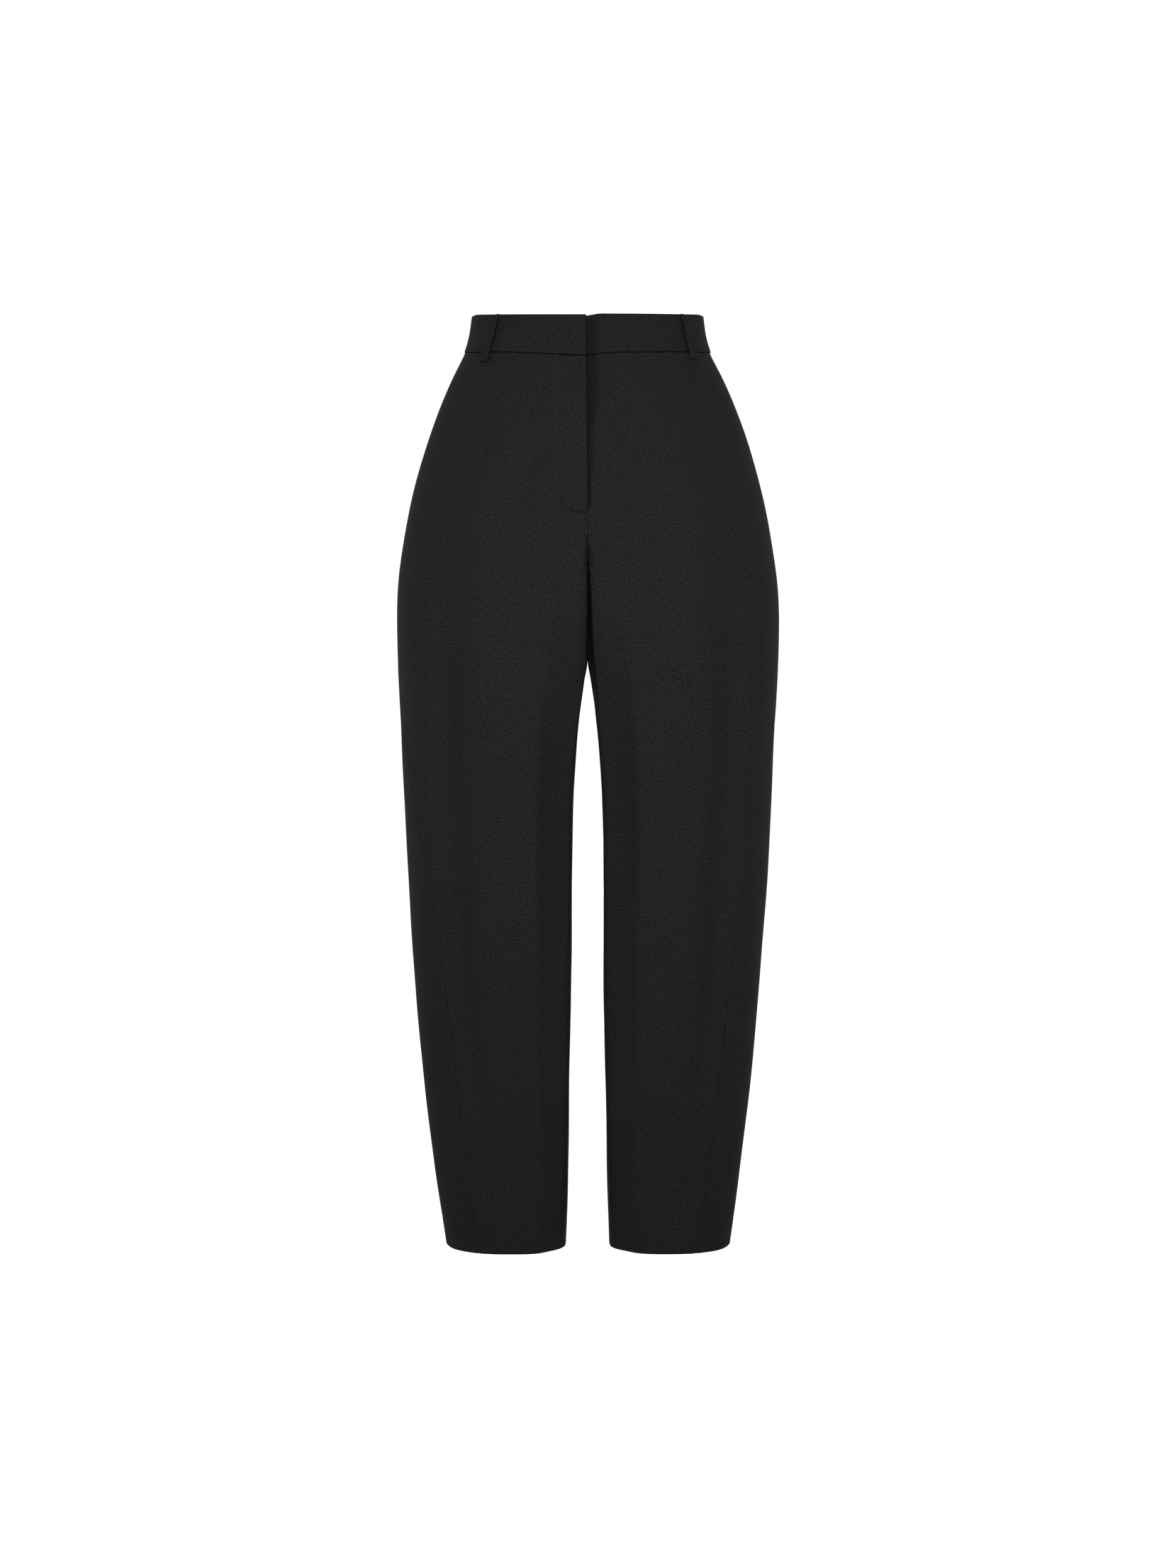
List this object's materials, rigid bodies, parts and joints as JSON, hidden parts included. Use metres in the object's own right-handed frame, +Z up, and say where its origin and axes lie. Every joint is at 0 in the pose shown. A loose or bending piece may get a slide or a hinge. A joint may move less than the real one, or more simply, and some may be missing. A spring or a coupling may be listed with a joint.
{
  "type": "tailored trousers",
  "caption": "High-waisted, ankle-length tailored trousers with full barrel legs, a fly closing and belt loops, standing open as if filled out by a body.",
  "frame": {"origin": "centre of the waist's top edge, at the height of that edge at the sides, where the wearer holds the garment", "axes": "+X towards the wearer's left, -Y towards the wearer's front, +Z up"},
  "size_m": [0.417, 0.2432, 1.0218],
  "materials": {
    "black_suiting": "matt fine wool twill",
    "waistband_suiting": "matt fine wool twill, pressed flat"
  },
  "bodies": {
    "root": {"front_right": "black_suiting", "front_left": "black_suiting", "back_right": "black_suiting", "back_left": "black_suiting", "waistband_right": "waistband_suiting", "waistband_left": "waistband_suiting", "belt_loop_front_right": "waistband_suiting", "belt_loop_front_left": "waistband_suiting", "belt_loop_back_right": "waistband_suiting", "belt_loop_back_left": "waistband_suiting", "belt_loop_centre_back": "waistband_suiting"}
  },
  "joints": []
}
